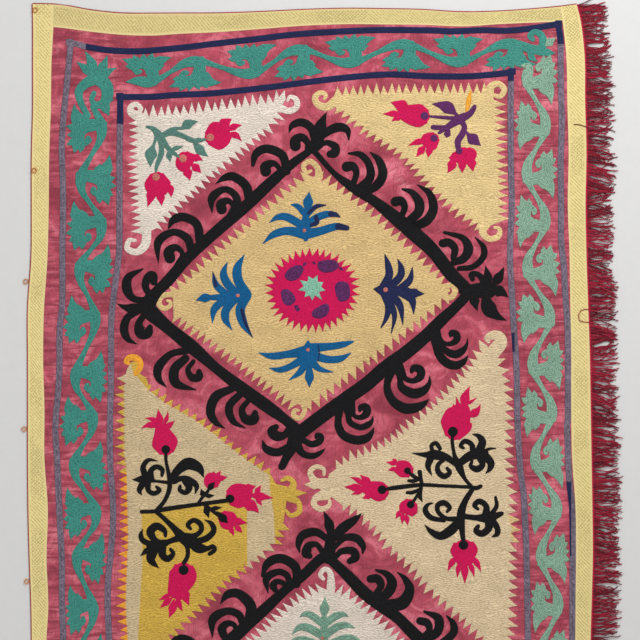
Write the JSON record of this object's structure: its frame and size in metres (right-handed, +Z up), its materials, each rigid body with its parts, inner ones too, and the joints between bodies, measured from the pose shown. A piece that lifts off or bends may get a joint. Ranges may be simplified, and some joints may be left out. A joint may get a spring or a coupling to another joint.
{
  "type": "suzani embroidered textile",
  "caption": "Embroidered satin hanging laid flat, with a quilted cotton border, a yarn fringe down one side and small sewn-on rings down the other.",
  "frame": {"origin": "under the middle of the whole part's box, on the surface that it lies on", "axes": "+Y along the cloth towards its head end, +X across it towards the fringe, +Z up out of its face"},
  "size_m": [1.4386, 2.2812, 0.0107],
  "materials": {
    "satin": "soft sheen",
    "band_cotton": "matt, hand quilted",
    "edging": "soft sheen",
    "fringe_yarn": "matt yarn",
    "ring": "worn, coppery",
    "tie_thread": "matt thread",
    "silk_cream": "chain stitch",
    "silk_black": "chain stitch",
    "silk_green": "chain stitch",
    "silk_magenta": "chain stitch",
    "silk_blue": "chain stitch",
    "silk_grey": "chain stitch"
  },
  "bodies": {
    "root": {"satin_field": "satin", "band_left": "band_cotton", "band_right": "band_cotton", "band_head": "band_cotton", "band_foot": "band_cotton", "edging_left": "edging", "edging_head": "edging", "edging_foot": "edging", "fringe": "fringe_yarn", "ring_1": "ring", "ring_2": "ring", "ring_3": "ring", "ring_4": "ring", "ring_5": "ring", "ring_6": "ring", "ring_7": "ring", "ring_8": "ring", "ring_tie_1": "tie_thread", "ring_tie_2": "tie_thread", "ring_tie_3": "tie_thread", "ring_tie_4": "tie_thread", "ring_tie_5": "tie_thread", "ring_tie_6": "tie_thread", "ring_tie_7": "tie_thread", "ring_tie_8": "tie_thread"}
  },
  "joints": []
}
